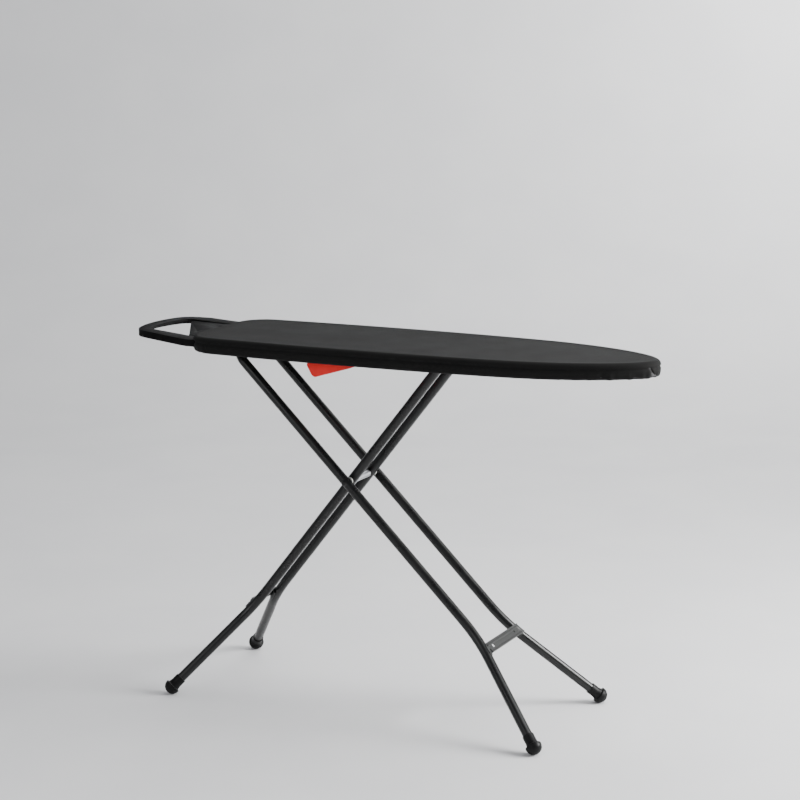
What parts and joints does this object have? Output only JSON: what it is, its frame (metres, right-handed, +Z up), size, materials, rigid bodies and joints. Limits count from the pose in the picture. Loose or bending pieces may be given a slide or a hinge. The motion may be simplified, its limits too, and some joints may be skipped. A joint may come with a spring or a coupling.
{
  "type": "ironing board",
  "caption": "Folding ironing board: padded fabric-covered top with rounded nose, black iron rest, crossed tubular steel legs, crossbars, rubber feet and a red height lever.",
  "frame": {"origin": "on the floor under the centre of the bounding box", "axes": "+X from the iron rest to the nose, +Y to the board's left, +Z up"},
  "size_m": [1.284, 0.419, 0.8525],
  "materials": {
    "black_sheet_steel": "satin",
    "felt_pad": "matte",
    "black_cotton": "matte",
    "elastic": "matte",
    "black_moulded_plastic": "satin",
    "black_rest_plate": "satin",
    "zinc_fasteners": "satin",
    "red_plastic": "semi-gloss",
    "zinc_steel": "satin",
    "spring_steel": "bright",
    "black_leg_paint": "semi-gloss",
    "black_crossbar_paint": "satin",
    "black_foot_plastic": "matte",
    "nylon": "satin"
  },
  "bodies": {
    "board": {"top_panel": "black_sheet_steel", "rim_frame": "black_sheet_steel", "cross_ribs": "black_sheet_steel", "guide_rail_left": "black_sheet_steel", "guide_rail_right": "black_sheet_steel", "pad": "felt_pad", "cover": "black_cotton", "hem_elastic": "elastic", "iron_rest": "black_moulded_plastic", "rest_plate": "black_rest_plate", "rest_plate_rivets": "black_rest_plate", "rest_screws": "zinc_fasteners", "pivot_seat": "black_sheet_steel", "pivot_strap": "black_sheet_steel", "strap_screws": "zinc_fasteners", "lever_bracket_outer": "black_sheet_steel", "lever_bracket_inner": "black_sheet_steel", "lever_spring": "spring_steel"},
    "lever": {"lever_handle": "red_plastic", "lever_shaft": "zinc_steel", "lock_pawl": "zinc_steel"},
    "outer_leg": {"outer_tube": "black_leg_paint", "outer_crossbar": "black_crossbar_paint", "outer_foot_left": "black_foot_plastic", "outer_foot_right": "black_foot_plastic", "cross_axle": "black_leg_paint", "cross_washers": "nylon"},
    "inner_leg": {"inner_tube_left": "black_leg_paint", "inner_tube_right": "black_leg_paint", "inner_crossbar": "black_crossbar_paint", "cross_spacer_plate": "black_crossbar_paint", "cross_sleeve": "zinc_steel", "inner_foot_left": "black_foot_plastic", "inner_foot_right": "black_foot_plastic", "slide_axle": "zinc_steel", "slide_washers": "zinc_steel", "tube_plugs": "black_foot_plastic"},
    "slider": {"glide_blocks": "nylon", "height_rack": "zinc_steel"}
  },
  "joints": [
    {"name": "fold", "type": "hinge", "parent": "board", "child": "outer_leg", "pos_m": [-0.3743, 0, 0.812], "axis": [0, -1, 0], "range_deg": [0, 41.9]},
    {"name": "cross_pivot", "type": "hinge", "parent": "outer_leg", "child": "inner_leg", "pos_m": [-0.08444, 0, 0.52785], "axis": [0, 1, 0], "range_deg": [0, 90.96]},
    {"name": "glide", "type": "hinge", "parent": "inner_leg", "child": "slider", "pos_m": [0.1437, 0, 0.812], "axis": [0, -1, 0], "range_deg": [0, 49.06]},
    {"name": "height_lever", "type": "hinge", "parent": "board", "child": "lever", "pos_m": [-0.015, -0.125, 0.826], "axis": [0, 1, 0], "range_deg": [0, 12], "stiffness_Nm_per_rad": 0.3, "springref_deg": -28.65}
  ],
  "couplings": [
    {"joint": "cross_pivot", "follows": "fold", "ratio": 2.166},
    {"joint": "glide", "follows": "fold", "ratio": 1.166}
  ]
}
